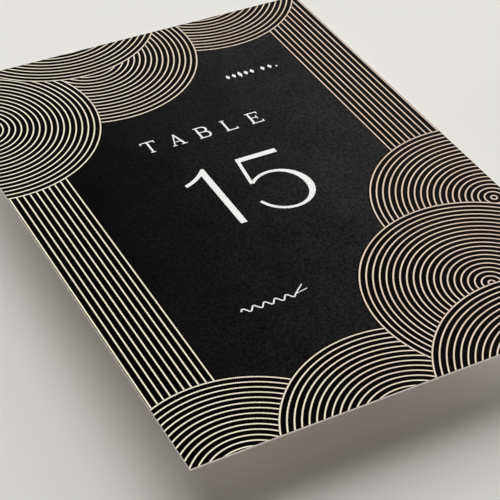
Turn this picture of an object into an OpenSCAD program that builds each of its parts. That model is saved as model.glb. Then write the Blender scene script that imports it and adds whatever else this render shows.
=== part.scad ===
// Table number card: a duplexed white board with a black printed face,
// champagne foil line work and white numerals. It lies on its back on the
// XY plane, with +Y towards the head of the card and +Z out of the face.
// The origin is the middle of the underside.

/* [Card] */
// Width of the card
card_w = 127; // [120:0.5:160]
// Height of the card
card_h = 177.8; // [150:0.1:220]
// Thickness of each of the two white plies
ply_t = 0.26; // [0.2:0.01:0.8]
// Thickness of the glue film between the plies
bond_t = 0.04; // [0.02:0.01:0.1]
// How far the glue film stops short of the cut edge
bond_inset = 0.2; // [0.1:0.1:2]
// Thickness of the black print on the face
print_t = 0.04; // [0.02:0.01:0.1]

/* [Foil fans] */
// Thickness of the foil
foil_t = 0.04; // [0.02:0.01:0.1]
// Width of every foil line
line_w = 0.5; // [0.4:0.05:0.9]
// Number of lines in a fan
fan_lines = 20; // [12:1:24]
// Distance from one line of a fan to the next
fan_pitch = 1.793; // [1.4:0.001:2.4]
// Radius of the innermost line of a fan, to its middle
fan_core_r = 0.9; // [0.6:0.05:1.2]
// Bare print left where a line stops at a fan that lies over it
foil_gap = 0.05; // [0.02:0.01:0.3]
// Least bare print between the foil and the lettering
letter_room = 1.5; // [0.5:0.1:3]
// Middle of the fan at the bottom left, from the bottom left corner
bottom_left_at = [12.7, -11.1]; // [-40:0.1:60]
// Middle of the fan at the bottom, from the middle of the bottom edge
bottom_mid_at = [-7, -12.5]; // [-40:0.1:40]
// Middle of the fan at the lower right, from the bottom right corner
lower_right_at = [-26.3, 24]; // [-60:0.1:60]
// Middle of the fan at the right edge, from the bottom right corner
right_edge_at = [-4.3, 54.6]; // [-60:0.1:80]
// Middle of the fan at the bottom right, from the bottom right corner
bottom_right_at = [-26.4, -11.5]; // [-60:0.1:60]
// Middle of the fan at the left edge, from the top left corner
left_edge_at = [5.2, -28.5]; // [-60:0.1:60]
// Middle of the large fan at the top, from the middle of the top edge
top_mid_at = [-15.4, -6.3]; // [-40:0.1:40]
// Middle of the fan that lies over it, from the top left corner
top_over_at = [45.7, 20.5]; // [-40:0.1:80]
// Middle of the fan at the top right, from the top right corner
top_right_at = [-32, 16.1]; // [-60:0.1:60]

/* [Side bands] */
// Number of lines in each side band
band_lines = 10; // [6:1:14]
// Distance from one line of a band to the next
band_pitch = 1.98; // [1.5:0.01:2.4]
// Middle of a band's outer line, from the side of the card
band_margin = 0.4; // [0.3:0.05:3]

/* [Numerals] */
// Thickness of the white ink
ink_t = 0.04; // [0.02:0.01:0.1]
// Height of the numerals
numeral_h = 27.4; // [22:0.1:34]
// Foot of the numerals, below the middle of the card
numeral_drop = 13; // [5:0.1:20]
// Width of the heavy strokes
stem_w = 2; // [1.4:0.1:3]
// Width of the light strokes
light_w = 1; // [0.6:0.05:1.4]
// Right side of the first numeral, left of the middle of the card
one_right = 8.3; // [5:0.1:14]
// Thickness of the flag on the first numeral
flag_t = 1.2; // [0.8:0.05:1.8]
// Radius of the curve along the top of the flag
flag_r = 14.5; // [12:0.1:18]
// Middle of the bowl, right of the middle of the card
bowl_x = 7.8; // [5:0.1:14]
// Outer radius of the bowl
bowl_r = 9.3; // [7.5:0.05:10.5]
// Length of the bar along the top of the second numeral
bar_l = 13; // [10:0.1:16]
// Lean of the light stroke under the bar, in degrees
lean = 7; // [3:0.5:10]

/* [Title word] */
// Height of the capitals
cap_h = 5.6; // [4:0.1:7]
// Foot of the capitals, above the middle of the card
word_rise = 28.1; // [24:0.1:36]
// Distance from the middle of one capital to the next
letter_step = 8.7; // [7:0.1:9.5]
// Width of a capital's heavy strokes
cap_stem = 0.65; // [0.5:0.05:1.1]
// Width of a capital's light strokes
cap_light = 0.4; // [0.3:0.05:0.7]

/* [Small ornaments] */
// Middle of the first lozenge, from the top right corner
mark_at = [-43.2, -34.8]; // [-60:0.1:0]
// Height and width of a lozenge
lozenge = [2.3, 1.4]; // [1:0.1:3]
// Height of the tall lozenge in the middle
tall_lozenge = 3.4; // [2:0.1:5]
// Distance from one lozenge to the next
lozenge_step = 2.1; // [1.6:0.05:3]
// Start of the pen flourish, from the bottom left corner
flourish_at = [36, 43.2]; // [20:0.1:60]
// Number of waves in the flourish
flourish_waves = 5; // [3:1:7]
// Length of one wave
flourish_step = 3.2; // [3:0.1:4]
// Height of the waves, from trough to crest
flourish_rise = 1.6; // [1:0.1:1.8]
// Width of the pen
pen_w = 0.42; // [0.3:0.02:0.5]

/* [Hidden] */
$fn = 180;

// Heights of the layers
bond_z = ply_t;
front_z = bond_z + bond_t;
print_z = front_z + ply_t;
foil_z = print_z + print_t;

// Corners of the card
left = -card_w / 2;
right = card_w / 2;
bottom = -card_h / 2;
top = card_h / 2;

// Middles of the fans, from the lowest in the stack to the highest
fan_at = [
    [left, bottom] + bottom_left_at,
    [0, bottom] + bottom_mid_at,
    [right, bottom] + right_edge_at,
    [right, bottom] + lower_right_at,
    [right, bottom] + bottom_right_at,
    [right, top] + top_right_at,
    [0, top] + top_mid_at,
    [left, top] + left_edge_at,
    [left, top] + top_over_at
];
fan_r = fan_core_r + (fan_lines - 1) * fan_pitch + line_w / 2;

// Ends of the lettering and the small ornaments
word_end = 2 * letter_step + 2.3;
mark_start = [right, top] + mark_at;
mark_l = 8 * lozenge_step + 0.35;
flourish_start = [left, bottom] + flourish_at;
long_sweep = [3.3, 2.7];
low_sweep = [3.8, 0.7];
flourish_l = flourish_waves * flourish_step + low_sweep[0];

// Colours of the layers
white_stock = [0.93, 0.92, 0.89];
glue_tint = [0.85, 0.82, 0.74];
black_ink = [0.09, 0.09, 0.09];
champagne = [0.86, 0.79, 0.66];
white_ink = [0.96, 0.96, 0.94];

// ---- shared shapes ----

module card_face(inset = 0) {
    translate([left + inset, bottom + inset])
        square([card_w - 2 * inset, card_h - 2 * inset]);
}

module layer(z, t) {
    translate([0, 0, z])
        linear_extrude(t)
            children();
}

// A ring of one foil line
module ring(r) {
    difference() {
        circle(r + line_w / 2);
        circle(r - line_w / 2);
    }
}

// The area that the fans from one place in the stack upwards cover
module covered_from(first) {
    for (i = [first:len(fan_at) - 1])
        translate(fan_at[i])
            circle(fan_r + foil_gap);
}

// An area that the foil leaves bare, from its lowest and highest corners
module bare_area(from, to) {
    room = [letter_room, letter_room];
    translate(from - room)
        square(to - from + 2 * room);
}

// The areas of the numerals, the word and the small ornaments
module lettering_area() {
    bare_area([one_x - flag_reach, foot], [bowl_mid[0] + bowl_r, head]);
    bare_area([-word_end, word_rise], [word_end, word_rise + cap_h]);
    bare_area(mark_start - [0, tall_lozenge / 2], mark_start + [mark_l, tall_lozenge / 2]);
    bare_area(flourish_start - [0, flourish_rise / 2], flourish_start + [flourish_l, long_sweep[1]]);
}

// A fan's lines, cut by the card, the lettering's room and the fans over it
module fan(i) {
    color(champagne)
        layer(foil_z, foil_t)
            difference() {
                intersection() {
                    translate(fan_at[i])
                        for (k = [0:fan_lines - 1])
                            ring(fan_core_r + k * fan_pitch);
                    card_face();
                }
                lettering_area();
                if (i < len(fan_at) - 1)
                    covered_from(i + 1);
            }
}

// A straight band: side is -1 for the left one and 1 for the right one
module band(side) {
    color(champagne)
        layer(foil_z, foil_t)
            difference() {
                for (k = [0:band_lines - 1])
                    translate([side * (right - band_margin - k * band_pitch) - line_w / 2, bottom])
                        square([line_w, card_h]);
                lettering_area();
                covered_from(0);
            }
}

// A pen stroke with round ends
module stroke(from, to, w) {
    run = to - from;
    aim = atan2(run[1], run[0]);
    polygon(concat(
        [for (a = [-90:15:90]) to + w / 2 * [cos(aim + a), sin(aim + a)]],
        [for (a = [90:15:270]) from + w / 2 * [cos(aim + a), sin(aim + a)]]
    ));
}

// ---- board ----

module back_ply() {
    color(white_stock)
        layer(0, ply_t)
            card_face();
}

module bond_film() {
    color(glue_tint)
        layer(bond_z, bond_t)
            card_face(bond_inset);
}

module front_ply() {
    color(white_stock)
        layer(front_z, ply_t)
            card_face();
}

module black_print() {
    color(black_ink)
        layer(print_z, print_t)
            card_face();
}

// ---- foil ----

module fan_bottom_left() fan(0);
module fan_bottom_mid() fan(1);
module fan_right_edge() fan(2);
module fan_lower_right() fan(3);
module fan_bottom_right() fan(4);
module fan_top_right() fan(5);
module fan_top_mid() fan(6);
module fan_left_edge() fan(7);
module fan_top_over() fan(8);
module band_left() band(-1);
module band_right() band(1);

// ---- numerals ----

foot = -numeral_drop;
head = foot + numeral_h;
one_x = -one_right;
flag_reach = 8.2;
flag_mid = [one_x - 12.3, head + 9];

module numeral_1() {
    color(white_ink)
        layer(foil_z, ink_t)
            difference() {
                union() {
                    translate([one_x - stem_w, foot])
                        square([stem_w, numeral_h]);
                    intersection() {
                        translate(flag_mid)
                            circle(flag_r + flag_t);
                        translate([one_x - flag_reach, head - 6.2])
                            square([flag_reach - stem_w / 2, 6.2]);
                    }
                }
                translate(flag_mid)
                    circle(flag_r);
            }
}

bowl_mid = [bowl_x, foot + bowl_r - 0.25];
bowl_from = -163;
bowl_to = 138;
bowl_steps = 100;
bar_left = bowl_mid[0] - 5.85;
bar_t = stem_w * 0.92;
under_bar = head - (bowl_mid[1] + bowl_r * sin(bowl_to)) + 0.4;

// Width of the bowl's stroke, which swells to the stem's on the right
function bowl_w(a) = light_w + (stem_w + 0.15 - light_w) * pow(max(0, cos(a)), 2);
function bowl_point(a, r) = bowl_mid + r * [cos(a), sin(a)];
function bowl_angle(i) = bowl_from + (bowl_to - bowl_from) * i / bowl_steps;

module bowl() {
    outer = [for (i = [0:bowl_steps])
        bowl_point(bowl_angle(i), bowl_r)];
    inner = [for (i = [bowl_steps:-1:0])
        bowl_point(bowl_angle(i), bowl_r - bowl_w(bowl_angle(i)))];
    polygon(concat(outer, inner));
}

module numeral_5() {
    drift = under_bar * tan(lean);
    color(white_ink)
        layer(foil_z, ink_t)
            union() {
                bowl();
                translate([bar_left, head - bar_t])
                    square([bar_l, bar_t]);
                polygon([
                    [bar_left, head],
                    [bar_left - drift, head - under_bar],
                    [bar_left - drift + light_w * 1.05, head - under_bar],
                    [bar_left + light_w * 1.05, head]
                ]);
            }
}

// ---- title word ----

serif_t = 0.3;
serif_out = 0.45;
barb = 1.1;

module cap_bar(x, y, l, t) {
    translate([x, y])
        square([l, t]);
}

// A heavy upright with a serif at its foot and, if asked, at its head
module upright(x, head_serif = true) {
    cap_bar(x, 0, cap_stem, cap_h);
    cap_bar(x - serif_out, 0, cap_stem + 2 * serif_out, serif_t);
    if (head_serif)
        cap_bar(x - serif_out, cap_h - serif_t, cap_stem + serif_out, serif_t);
}

// A barb at the end of a light bar: out is 1 at a right end and -1 at a left
// one, and up is 1 for a rising barb
module bar_end(x, y, out, up) {
    tip_in = x - out * cap_light * 0.6;
    foot_in = x - out * barb * 0.55;
    corners = [[x, y], [x, y + up * barb], [tip_in, y + up * barb], [foot_in, y]];
    polygon(out * up > 0 ? corners : [for (i = [3:-1:0]) corners[i]]);
}

module capital_t() {
    w = 4.6;
    upright((w - cap_stem) / 2, false);
    cap_bar(0, cap_h - cap_light, w, cap_light);
    bar_end(w, cap_h, 1, -1);
    bar_end(0, cap_h, -1, -1);
}

module capital_a() {
    w = 4.8;
    peak = w / 2;
    polygon([[0.4, 0], [0.4 + cap_light, 0], [peak + 0.2, cap_h], [peak - 0.2, cap_h]]);
    polygon([[w - 0.5 - cap_stem * 1.1, 0], [w - 0.5, 0], [peak + 0.2, cap_h], [peak - 0.35, cap_h]]);
    cap_bar(peak - 1.3, cap_h * 0.3, 2.6, cap_light * 0.8);
    cap_bar(0, 0, 1.4, serif_t);
    cap_bar(w - 1.9, 0, 1.9, serif_t);
}

// A closed half-round shape, such as the outline of a bowl
module dee(w, h) {
    square([w - h / 2, h]);
    translate([w - h / 2, h / 2])
        circle(h / 2, $fn = 64);
}

module capital_b() {
    waist = cap_h * 0.52;
    lower = waist + cap_light / 2;
    upper = cap_h - waist + cap_light / 2;
    difference() {
        union() {
            dee(3.9, lower);
            translate([0, cap_h - upper])
                dee(3.6, upper);
            cap_bar(-serif_out, 0, 1.5, serif_t);
            cap_bar(-serif_out, cap_h - serif_t, 1.5, serif_t);
        }
        translate([cap_stem, cap_light])
            dee(3.9 - 2 * cap_stem, lower - 2 * cap_light);
        translate([cap_stem, cap_h - upper + cap_light])
            dee(3.6 - 2 * cap_stem, upper - 2 * cap_light);
    }
}

module capital_l() {
    upright(0);
    cap_bar(cap_stem - serif_out, cap_h - serif_t, 2 * serif_out, serif_t);
    cap_bar(0, 0, 3.6, cap_light);
    bar_end(3.6, 0, 1, 1);
}

module capital_e() {
    upright(0);
    cap_bar(0, 0, 3.7, cap_light);
    bar_end(3.7, 0, 1, 1);
    cap_bar(0, cap_h - cap_light, 3.4, cap_light);
    bar_end(3.4, cap_h, 1, -1);
    cap_bar(0, (cap_h - cap_light) / 2 + 0.1, 2.6, cap_light);
    cap_bar(2.3, cap_h / 2 - 0.75, 0.3, 1.7);
}

module title_word() {
    color(white_ink)
        layer(foil_z, ink_t) {
            translate([-2 * letter_step - 2.3, word_rise])
                capital_t();
            translate([-letter_step - 2.4, word_rise])
                capital_a();
            translate([-1.8, word_rise])
                capital_b();
            translate([letter_step - 1.7, word_rise])
                capital_l();
            translate([2 * letter_step - 1.8, word_rise])
                capital_e();
        }
}

// ---- small ornaments ----

module diamond(x, h) {
    w = lozenge[1];
    translate([x, 0])
        polygon([[-w / 2, 0], [0, -h / 2], [w / 2, 0], [0, h / 2]]);
}

// Five lozenges with the middle one tall, then two more and a dot
module corner_mark() {
    color(white_ink)
        layer(foil_z, ink_t)
            translate(mark_start) {
                for (i = [0:4])
                    diamond(i * lozenge_step, i == 2 ? tall_lozenge : lozenge[0]);
                for (i = [0:1])
                    diamond((i * 1.2 + 5.8) * lozenge_step, lozenge[0]);
                translate([8 * lozenge_step, -lozenge[0] * 0.3])
                    circle(0.35, $fn = 32);
            }
}

function wave(t) = [flourish_step * t / 360, flourish_rise / 2 * sin(t)];
function wave_run(t) = [flourish_step / 360, flourish_rise / 2 * cos(t) * PI / 180];

// A point on one side of the wave's line: side is -1 below it and 1 above it
function wave_side(t, side) =
    let (run = wave_run(t))
    wave(t) + side * pen_w / 2 * [-run[1], run[0]] / norm(run);

// A wave with a long sweep at its end
module pen_flourish() {
    finish = 360 * flourish_waves;
    last = wave(finish);
    color(white_ink)
        layer(foil_z, ink_t)
            translate(flourish_start)
                union() {
                    polygon(concat(
                        [for (t = [0:12:finish]) wave_side(t, -1)],
                        [for (t = [finish:-12:0]) wave_side(t, 1)]
                    ));
                    stroke(last, last + long_sweep, pen_w * 0.85);
                    stroke(last, last + low_sweep, pen_w * 0.6);
                }
}

back_ply();
bond_film();
front_ply();
black_print();
fan_bottom_left();
fan_bottom_mid();
fan_right_edge();
fan_lower_right();
fan_bottom_right();
fan_top_right();
fan_top_mid();
fan_left_edge();
fan_top_over();
band_left();
band_right();
numeral_1();
numeral_5();
title_word();
corner_mark();
pen_flourish();
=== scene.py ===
"""Table number card: duplexed white cotton board, black printed face, champagne foil line work and
white ink. The card lies on its back on a low plinth over a pale floor, with +Y towards its head and
+Z out of the face."""

import math

import bpy
from mathutils import Matrix, Vector


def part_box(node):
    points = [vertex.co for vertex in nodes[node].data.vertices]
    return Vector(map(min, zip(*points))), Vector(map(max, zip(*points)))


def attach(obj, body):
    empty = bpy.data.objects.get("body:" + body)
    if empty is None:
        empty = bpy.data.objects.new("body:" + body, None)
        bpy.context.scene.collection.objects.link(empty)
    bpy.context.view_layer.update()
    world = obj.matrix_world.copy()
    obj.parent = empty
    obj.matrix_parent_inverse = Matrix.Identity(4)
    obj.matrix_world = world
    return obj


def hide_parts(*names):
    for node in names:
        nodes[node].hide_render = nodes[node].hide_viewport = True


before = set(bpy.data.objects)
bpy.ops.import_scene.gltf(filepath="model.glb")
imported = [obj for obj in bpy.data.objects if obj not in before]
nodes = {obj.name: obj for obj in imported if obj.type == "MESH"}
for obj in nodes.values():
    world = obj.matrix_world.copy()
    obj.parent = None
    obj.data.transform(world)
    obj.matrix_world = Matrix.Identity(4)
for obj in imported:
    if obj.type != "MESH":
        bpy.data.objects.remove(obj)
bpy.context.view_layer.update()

MM = 0.001
LEVEL = 1e-7  # two heights nearer than this are the same

# The foil pattern, as the part has it: the centres of the fans' rings, in millimetres
FAN_MIDDLES = {
    "fan_bottom_left": (-50.8, -100.0),
    "fan_bottom_mid": (-7.0, -101.4),
    "fan_right_edge": (59.2, -34.3),
    "fan_lower_right": (37.2, -64.9),
    "fan_bottom_right": (37.1, -100.4),
    "fan_top_right": (31.5, 105.0),
    "fan_top_mid": (-15.4, 82.6),
    "fan_left_edge": (-58.3, 60.4),
    "fan_top_over": (-17.8, 109.4),
}
FIRST_RING = 0.9 * MM
RING_PITCH = 1.793 * MM
FIRST_STRIPE = 63.1 * MM  # from the card's middle, as the next one is
STRIPE_PITCH = 1.98 * MM
# Where the press mark of the die starts to fade, and where it ends
FAN_PRESSED, FAN_OPEN = 35.2 * MM, 36.0 * MM
BAND_PRESSED, BAND_OPEN = 45.1 * MM, 44.3 * MM
INK_NODES = ["numeral_1", "numeral_5", "title_word", "corner_mark", "pen_flourish"]

CORNER = 0.12 * MM  # blunting of the board's four corners
FLOOR_DROP = 15 * MM  # from the card's underside to the floor
PLINTH_WIDTH, PLINTH_LENGTH = 64 * MM, 110 * MM
PLINTH_CORNER = 2 * MM

CAMERA_AT = Vector((-0.17419, -0.31516, 0.26965))
CAMERA_RIGHT = Vector((0.8830, -0.4690, 0.0201)).normalized()
CAMERA_FORWARD = Vector((0.3757, 0.6803, -0.6293)).normalized()
CAMERA_LENS = 114.185
CAMERA_SENSOR = 36

WINDOW_AZIMUTH = math.radians(63.2)
WINDOW_RISE = math.radians(40.1)
WINDOW_AWAY = 1.9
SIDE_WINDOW_AWAY = 1.4


# ---- materials ----


def linear(hex_colour):
    """An sRGB hex colour as linear RGBA."""
    out = []
    for i in (0, 2, 4):
        c = int(hex_colour[i : i + 2], 16) / 255
        out.append(c / 12.92 if c <= 0.04045 else ((c + 0.055) / 1.055) ** 2.4)
    return (*out, 1.0)


def new_material(name):
    material = bpy.data.materials.new(name)
    material.use_nodes = True
    tree = material.node_tree
    tree.nodes.clear()
    return material, tree


def add(tree, kind, settings=None, links=None, numbered=None, **named):
    """Adds one node, sets its properties, links its inputs, and sets the other inputs' values, by number
    or by name."""
    node = tree.nodes.new(kind)
    for key, value in (settings or {}).items():
        setattr(node, key, value)
    for key, value in (numbered or {}).items():
        node.inputs[key].default_value = value
    for key, value in named.items():
        node.inputs[key.replace("_", " ")].default_value = value
    for key, source in (links or {}).items():
        tree.links.new(source, node.inputs[key])
    return node


def surface(tree, shader):
    add(tree, "ShaderNodeOutputMaterial", links={"Surface": shader.outputs[0]})


# Matt emulsion, on the floor and the plinth.
def floor_paint():
    material, tree = new_material("floor_paint")
    shader = add(
        tree,
        "ShaderNodeBsdfPrincipled",
        Base_Color=linear("e7e6e2"),
        Roughness=0.9,
        Metallic=0.0,
    )
    surface(tree, shader)
    return material


# Uncoated cotton board, guillotined: matte, off-white, with fine fibres along the cut.
def cotton_board():
    material, tree = new_material("cotton_board")
    place = add(tree, "ShaderNodeTexCoord").outputs["Object"]
    fibre_way = add(tree, "ShaderNodeMapping", links={"Vector": place}, Scale=(1, 1, 6))
    fibre = add(
        tree,
        "ShaderNodeTexNoise",
        links={"Vector": fibre_way.outputs["Vector"]},
        Scale=1 / (0.35 * MM),
        Detail=4,
        Roughness=0.6,
    )
    tone = add(
        tree,
        "ShaderNodeMix",
        {"data_type": "RGBA"},
        {"Factor": fibre.outputs["Fac"]},
        {6: linear("ece9e1"), 7: linear("fffefb")},
    )
    bump = add(
        tree,
        "ShaderNodeBump",
        links={"Height": fibre.outputs["Fac"]},
        Strength=0.5,
        Distance=0.02 * MM,
    )
    shader = add(
        tree,
        "ShaderNodeBsdfPrincipled",
        links={"Base Color": tone.outputs[2], "Normal": bump.outputs["Normal"]},
        Roughness=0.9,
        Specular_IOR_Level=0.3,
    )
    surface(tree, shader)
    return material


# How far a point of the face lies from the middle of a fan's rings.
def ring_reach(tree, place, middle):
    flat = add(tree, "ShaderNodeVectorMath", {"operation": "MULTIPLY"}, {0: place}, {1: (1, 1, 0)})
    reach = add(
        tree,
        "ShaderNodeVectorMath",
        {"operation": "DISTANCE"},
        {0: flat.outputs["Vector"]},
        {1: (middle[0] * MM, middle[1] * MM, 0)},
    )
    return reach.outputs["Value"]


# 0 where the die has pressed the board flat, under and close round the foil, and 1 on the open print.
def open_print(tree, place):
    reaches = [ring_reach(tree, place, middle) for middle in FAN_MIDDLES.values()]
    nearest = reaches[0]
    for reach in reaches[1:]:
        nearest = add(tree, "ShaderNodeMath", {"operation": "MINIMUM"}, {0: nearest, 1: reach}).outputs[0]
    off_fans = add(
        tree,
        "ShaderNodeMapRange",
        links={"Value": nearest},
        From_Min=FAN_PRESSED,
        From_Max=FAN_OPEN,
    )
    straight = add(tree, "ShaderNodeSeparateXYZ", links={"Vector": place})
    side = add(tree, "ShaderNodeMath", {"operation": "ABSOLUTE"}, {0: straight.outputs["X"]})
    off_bands = add(
        tree,
        "ShaderNodeMapRange",
        links={"Value": side.outputs[0]},
        From_Min=BAND_PRESSED,
        From_Max=BAND_OPEN,
    )
    both = {0: off_fans.outputs["Result"], 1: off_bands.outputs["Result"]}
    return add(tree, "ShaderNodeMath", {"operation": "MINIMUM"}, both).outputs[0]


# Flat black pigment print that has sunk into cotton board: no gloss of its own, and the board's tooth
# shows as a fine grey mottle. Its colour turns greyer towards the right: painted sheen of the window
# light. Where the stamping die has pressed the board flat, the black is deeper.
def black_print():
    material, tree = new_material("flat_black_print")
    place = add(tree, "ShaderNodeTexCoord").outputs["Object"]
    tooth = add(
        tree,
        "ShaderNodeTexNoise",
        links={"Vector": place},
        Scale=1 / (0.8 * MM),
        Detail=3,
        Roughness=0.5,
    )
    cloud = add(
        tree,
        "ShaderNodeTexNoise",
        links={"Vector": place},
        Scale=1 / (16 * MM),
        Detail=3,
        Roughness=0.5,
    )
    # painted sheen: the black's colour is greyer towards the right, where the window's glint would fall
    turned = add(
        tree,
        "ShaderNodeMapping",
        links={"Vector": place},
        Rotation=(0, 0, math.radians(16)),
    )
    across = add(tree, "ShaderNodeSeparateXYZ", links={"Vector": turned.outputs["Vector"]})
    painted_reflection_drift = add(
        tree,
        "ShaderNodeMapRange",
        links={"Value": across.outputs["X"]},
        From_Min=-45 * MM,
        From_Max=50 * MM,
    )
    print_and_painted_sheen = add(
        tree,
        "ShaderNodeMix",
        {"data_type": "RGBA"},
        {"Factor": painted_reflection_drift.outputs["Result"]},
        {6: linear("070707"), 7: linear("292929")},
    )
    fine = add(
        tree,
        "ShaderNodeMapRange",
        links={"Value": tooth.outputs["Fac"]},
        From_Min=0.3,
        From_Max=0.7,
        To_Min=0.35,
        To_Max=1.65,
    )
    coarse = add(
        tree,
        "ShaderNodeMapRange",
        links={"Value": cloud.outputs["Fac"]},
        From_Min=0.3,
        From_Max=0.7,
        To_Min=0.8,
        To_Max=1.2,
    )
    pressed = add(tree, "ShaderNodeMapRange", links={"Value": open_print(tree, place)}, To_Min=0.2)
    grain = {0: fine.outputs["Result"], 1: coarse.outputs["Result"]}
    mottle = add(tree, "ShaderNodeMath", {"operation": "MULTIPLY"}, grain)
    depth = {0: mottle.outputs[0], 1: pressed.outputs["Result"]}
    strength = add(tree, "ShaderNodeMath", {"operation": "MULTIPLY"}, depth)
    tone = add(
        tree,
        "ShaderNodeVectorMath",
        {"operation": "SCALE"},
        {"Vector": print_and_painted_sheen.outputs[2], "Scale": strength.outputs[0]},
    )
    bump = add(
        tree,
        "ShaderNodeBump",
        links={"Height": tooth.outputs["Fac"]},
        Strength=0.8,
        Distance=0.1 * MM,
    )
    shader = add(
        tree,
        "ShaderNodeBsdfPrincipled",
        links={"Base Color": tone.outputs["Vector"], "Normal": bump.outputs["Normal"]},
        Roughness=0.6,
        Specular_IOR_Level=0.005,
    )
    surface(tree, shader)
    return material


# Hot-stamped champagne foil: aluminium under a tinted lacquer, satin because it follows the board's tooth.
# Each line is palest along its middle and goes to a darker, warmer brass at its edges: painted shade, as
# if the edges were rolled away from the light. Across the sheet the foil goes from pale on the left to
# darker towards the right, and rosier there in random patches: painted reflection. middle is the centre
# of the fan's rings, or None for the straight bands.
def champagne_foil(name, middle):
    material, tree = new_material(name)
    place = add(tree, "ShaderNodeTexCoord").outputs["Object"]
    across = add(tree, "ShaderNodeSeparateXYZ", links={"Vector": place})
    if middle:
        run, first, pitch = ring_reach(tree, place, middle), FIRST_RING, RING_PITCH
    else:
        side = add(tree, "ShaderNodeMath", {"operation": "ABSOLUTE"}, {0: across.outputs["X"]})
        run, first, pitch = side.outputs[0], FIRST_STRIPE, STRIPE_PITCH
    from_first = add(tree, "ShaderNodeMath", {"operation": "SUBTRACT"}, {0: run}, {1: first})
    off_middle = add(
        tree,
        "ShaderNodeMath",
        {"operation": "PINGPONG"},
        {0: from_first.outputs[0]},
        {1: pitch / 2},
    )
    # painted shade: each line darkens towards its edges, as if they were rolled away from the light
    edge = add(
        tree,
        "ShaderNodeMapRange",
        {"interpolation_type": "SMOOTHSTEP"},
        {"Value": off_middle.outputs[0]},
        From_Min=0.1 * MM,
        From_Max=0.23 * MM,
    )
    # painted reflection: the foil goes from pale on the left to darker and rosier towards the right
    painted_reflection_drift = add(
        tree,
        "ShaderNodeMapRange",
        links={"Value": across.outputs["X"]},
        From_Min=-50 * MM,
        From_Max=55 * MM,
    )
    plain = add(
        tree,
        "ShaderNodeMix",
        {"data_type": "RGBA"},
        {"Factor": painted_reflection_drift.outputs["Result"]},
        {6: linear("c3c1ae"), 7: linear("ae9f92")},
    )
    cloud = add(
        tree,
        "ShaderNodeTexNoise",
        links={"Vector": place},
        Scale=1 / (14 * MM),
        Detail=2,
        Roughness=0.5,
    )
    # random rosy patches, scaled up towards the right by the painted reflection's drift
    patch = add(
        tree,
        "ShaderNodeMapRange",
        links={"Value": cloud.outputs["Fac"]},
        From_Min=0.45,
        From_Max=0.72,
        To_Max=0.75,
    )
    patches = {0: patch.outputs["Result"], 1: painted_reflection_drift.outputs["Result"]}
    rosy = add(tree, "ShaderNodeMath", {"operation": "MULTIPLY"}, patches)
    tinted = add(
        tree,
        "ShaderNodeMix",
        {"data_type": "RGBA"},
        {"Factor": rosy.outputs[0], 6: plain.outputs[2]},
        {7: linear("a98a78")},
    )
    # painted shade along each line's edges, in a darker, warmer brass
    painted_edge_shade = add(
        tree,
        "ShaderNodeMix",
        {"data_type": "RGBA"},
        {"Factor": edge.outputs["Result"], 6: tinted.outputs[2]},
        {7: linear("6b5535")},
    )
    tooth = add(
        tree,
        "ShaderNodeTexNoise",
        links={"Vector": place},
        Scale=1 / (0.5 * MM),
        Detail=3,
        Roughness=0.6,
    )
    gloss = add(
        tree,
        "ShaderNodeMapRange",
        links={"Value": tooth.outputs["Fac"]},
        To_Min=0.38,
        To_Max=0.55,
    )
    bump = add(
        tree,
        "ShaderNodeBump",
        links={"Height": tooth.outputs["Fac"]},
        Strength=0.25,
        Distance=0.03 * MM,
    )
    looks = {
        "Base Color": painted_edge_shade.outputs[2],
        "Roughness": gloss.outputs["Result"],
        "Normal": bump.outputs["Normal"],
    }
    shader = add(tree, "ShaderNodeBsdfPrincipled", links=looks, Metallic=0.6)
    surface(tree, shader)
    return material


# Opaque white pigment ink over the black: matte, with the board's tooth just showing through.
def white_ink():
    material, tree = new_material("white_pigment_ink")
    place = add(tree, "ShaderNodeTexCoord").outputs["Object"]
    tooth = add(
        tree,
        "ShaderNodeTexNoise",
        links={"Vector": place},
        Scale=1 / (0.4 * MM),
        Detail=4,
        Roughness=0.6,
    )
    tone = add(
        tree,
        "ShaderNodeMix",
        {"data_type": "RGBA"},
        {"Factor": tooth.outputs["Fac"]},
        {6: linear("efeeea"), 7: linear("ffffff")},
    )
    bump = add(
        tree,
        "ShaderNodeBump",
        links={"Height": tooth.outputs["Fac"]},
        Strength=0.25,
        Distance=0.03 * MM,
    )
    shader = add(
        tree,
        "ShaderNodeBsdfPrincipled",
        links={"Base Color": tone.outputs[2], "Normal": bump.outputs["Normal"]},
        Roughness=0.6,
        Specular_IOR_Level=0.3,
    )
    surface(tree, shader)
    return material


# Dried white paste between the plies: creamier than the board, with a dull skin.
def paste_film():
    material, tree = new_material("dried_paste")
    place = add(tree, "ShaderNodeTexCoord").outputs["Object"]
    skin = add(
        tree,
        "ShaderNodeTexNoise",
        links={"Vector": place},
        Scale=1 / (0.6 * MM),
        Detail=3,
        Roughness=0.5,
    )
    tone = add(
        tree,
        "ShaderNodeMix",
        {"data_type": "RGBA"},
        {"Factor": skin.outputs["Fac"]},
        {6: linear("d2ccba"), 7: linear("e6e1d2")},
    )
    bump = add(
        tree,
        "ShaderNodeBump",
        links={"Height": skin.outputs["Fac"]},
        Strength=0.3,
        Distance=0.02 * MM,
    )
    shader = add(
        tree,
        "ShaderNodeBsdfPrincipled",
        links={"Base Color": tone.outputs[2], "Normal": bump.outputs["Normal"]},
        Roughness=0.6,
    )
    surface(tree, shader)
    return material


def give(obj, material):
    obj.data.materials.clear()
    obj.data.materials.append(material)


# ---- board, glue line and printed face ----


def pick_edges(piece, test):
    """In edit mode, selects the edges whose two ends pass the test, and nothing else."""
    bpy.ops.mesh.select_all(action="DESELECT")
    bpy.ops.object.mode_set(mode="OBJECT")
    points = piece.data.vertices
    for edge in piece.data.edges:
        a, b = (points[i].co for i in edge.vertices)
        edge.select = test(a, b)
    bpy.ops.object.mode_set(mode="EDIT")


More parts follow.
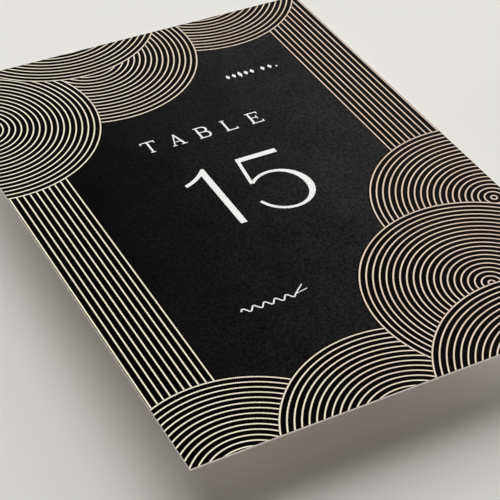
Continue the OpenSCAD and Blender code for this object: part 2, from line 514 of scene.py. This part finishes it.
def upright_block(name, low, high, corner, corner_segments):
    """A block between two corners, left in edit mode, with its four upright edges rounded."""
    bpy.ops.object.select_all(action="DESELECT")
    bpy.ops.mesh.primitive_cube_add(size=1, location=(low + high) / 2)
    piece = bpy.context.object
    piece.name = name
    piece.scale = high - low
    bpy.ops.object.transform_apply(location=True, scale=True)
    bpy.ops.object.mode_set(mode="EDIT")
    bpy.ops.mesh.select_mode(type="EDGE")
    pick_edges(piece, lambda a, b: abs(a.z - b.z) > LEVEL)
    bpy.ops.mesh.bevel(offset=corner, segments=corner_segments)
    return piece


def cut_sheet(name, node, material, head_ease, foot_ease):
    """A guillotined sheet in the place of a CAD node: blunted corners, and a rim that is eased at its
    upper and lower edges."""
    low, high = (Vector(point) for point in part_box(node))
    piece = upright_block(name, low, high, CORNER, 4)
    for level, ease in ((high.z, head_ease), (low.z, foot_ease)):
        pick_edges(piece, lambda a, b: abs(a.z - level) < LEVEL and abs(b.z - level) < LEVEL)
        bpy.ops.mesh.bevel(offset=ease, segments=3)
    bpy.ops.object.mode_set(mode="OBJECT")
    bpy.ops.object.shade_smooth_by_angle(angle=math.radians(40))
    give(piece, material)
    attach(piece, "root")
    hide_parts(node)


board = cotton_board()
cut_sheet("back_board", "back_ply", board, 0.03 * MM, 0.05 * MM)
cut_sheet("front_board", "front_ply", board, 0.01 * MM, 0.03 * MM)
cut_sheet("glue_line", "bond_film", paste_film(), 0.01 * MM, 0.01 * MM)
cut_sheet("printed_face", "black_print", black_print(), 0.02 * MM, 0.005 * MM)


# ---- foil and ink ----

for name, middle in FAN_MIDDLES.items():
    give(nodes[name], champagne_foil("champagne_foil_" + name, middle))
band_foil = champagne_foil("champagne_foil_bands", None)
for name in ("band_left", "band_right"):
    give(nodes[name], band_foil)
ink = white_ink()
for name in INK_NODES:
    give(nodes[name], ink)


# ---- floor, plinth, camera and lights ----

emulsion = floor_paint()
bpy.ops.object.select_all(action="DESELECT")
bpy.ops.mesh.primitive_plane_add(size=6, location=(0, 0, -FLOOR_DROP))
floor = bpy.context.object
floor.name = "floor"
bpy.ops.object.transform_apply(location=True)
give(floor, emulsion)

# A plinth under the middle of the card, which its own width hides from above.
plinth_low = Vector((-PLINTH_WIDTH / 2, -PLINTH_LENGTH / 2, -FLOOR_DROP))
plinth_high = Vector((PLINTH_WIDTH / 2, PLINTH_LENGTH / 2, 0))
plinth = upright_block("plinth", plinth_low, plinth_high, PLINTH_CORNER, 6)
bpy.ops.object.mode_set(mode="OBJECT")
give(plinth, emulsion)

camera_up = CAMERA_RIGHT.cross(CAMERA_FORWARD).normalized()
turn = Matrix((CAMERA_RIGHT, camera_up, -CAMERA_FORWARD)).transposed().to_4x4()
bpy.ops.object.camera_add()
camera = bpy.context.object
camera.matrix_world = Matrix.Translation(CAMERA_AT) @ turn
camera.data.lens = CAMERA_LENS
camera.data.sensor_width = CAMERA_SENSOR
camera.data.clip_start = 0.01
bpy.context.scene.camera = camera


def area_light(name, at, size, power, colour="ffffff"):
    """A square lamp that faces the middle of the card."""
    bpy.ops.object.light_add(type="AREA", location=at)
    lamp = bpy.context.object
    lamp.name = name
    lamp.data.size = size
    lamp.data.energy = power
    lamp.data.color = linear(colour)[:3]
    lamp.rotation_euler = (-Vector(at)).to_track_quat("-Z", "Y").to_euler()
    return lamp


window_way = Vector(
    (
        math.cos(WINDOW_AZIMUTH) * math.cos(WINDOW_RISE),
        math.sin(WINDOW_AZIMUTH) * math.cos(WINDOW_RISE),
        math.sin(WINDOW_RISE),
    )
)
area_light("window", window_way * WINDOW_AWAY, 3.1, 77.5)
area_light("side_window", Vector((0.80, 0.50, 0.33)) * SIDE_WINDOW_AWAY, 0.5, 2.5)

# A long low board on the near side, which lights the white cut edge.
reflector = area_light("reflector", (-0.62, -1.03, 0.14), 0.9, 3.2, "ffeae8")
reflector.data.shape = "RECTANGLE"
reflector.data.size_y = 0.16

# The room: dim overhead, and pale low down where its walls are.
world = bpy.data.worlds.new("room")
bpy.context.scene.world = world
world.use_nodes = True
room = world.node_tree
way = add(room, "ShaderNodeTexCoord").outputs["Generated"]
rise = add(room, "ShaderNodeSeparateXYZ", links={"Vector": way})
from_top = {"operation": "SUBTRACT", "use_clamp": True}
fall = add(room, "ShaderNodeMath", from_top, {1: rise.outputs["Z"]}, {0: 1})
walls = add(room, "ShaderNodeMath", {"operation": "POWER"}, {0: fall.outputs[0]}, {1: 4})
glow = add(room, "ShaderNodeMapRange", links={"Value": walls.outputs[0]}, To_Min=0.03, To_Max=0.85)
background = room.nodes["Background"]
background.inputs["Color"].default_value = linear("f2ebe8")
room.links.new(glow.outputs["Result"], background.inputs["Strength"])
bpy.context.scene.view_settings.view_transform = "Standard"
